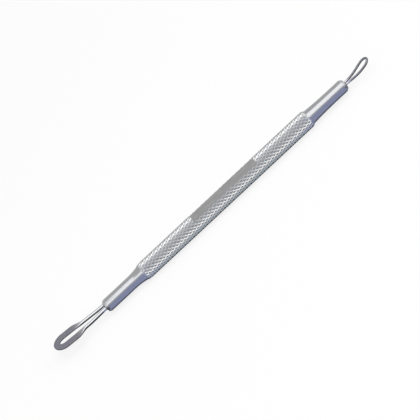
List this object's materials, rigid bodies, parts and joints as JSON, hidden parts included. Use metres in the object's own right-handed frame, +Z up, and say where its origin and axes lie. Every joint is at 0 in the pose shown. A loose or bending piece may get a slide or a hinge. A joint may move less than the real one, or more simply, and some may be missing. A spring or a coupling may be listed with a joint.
{
  "type": "blackhead extractor",
  "caption": "Slim double-ended skin-care tool: a diamond-knurled steel handle with a milled flat, a pressed wire loop at one end and a fine wire loop at the other.",
  "frame": {"origin": "on the surface the tool lies on, under the middle of its whole length", "axes": "+X along the handle, toward the small loop; +Z up, the way the milled flat faces"},
  "size_m": [0.1199, 0.006, 0.0055],
  "materials": {
    "turned_steel": "turned and knurled stainless steel, satin",
    "loop_wire": "bright drawn stainless wire, pressed flat at the large loop",
    "braze": "silver braze, cleaned back"
  },
  "bodies": {
    "root": {"handle": "turned_steel", "large_loop": "loop_wire", "large_loop_braze": "braze", "small_loop": "loop_wire", "small_loop_braze": "braze"}
  },
  "joints": []
}
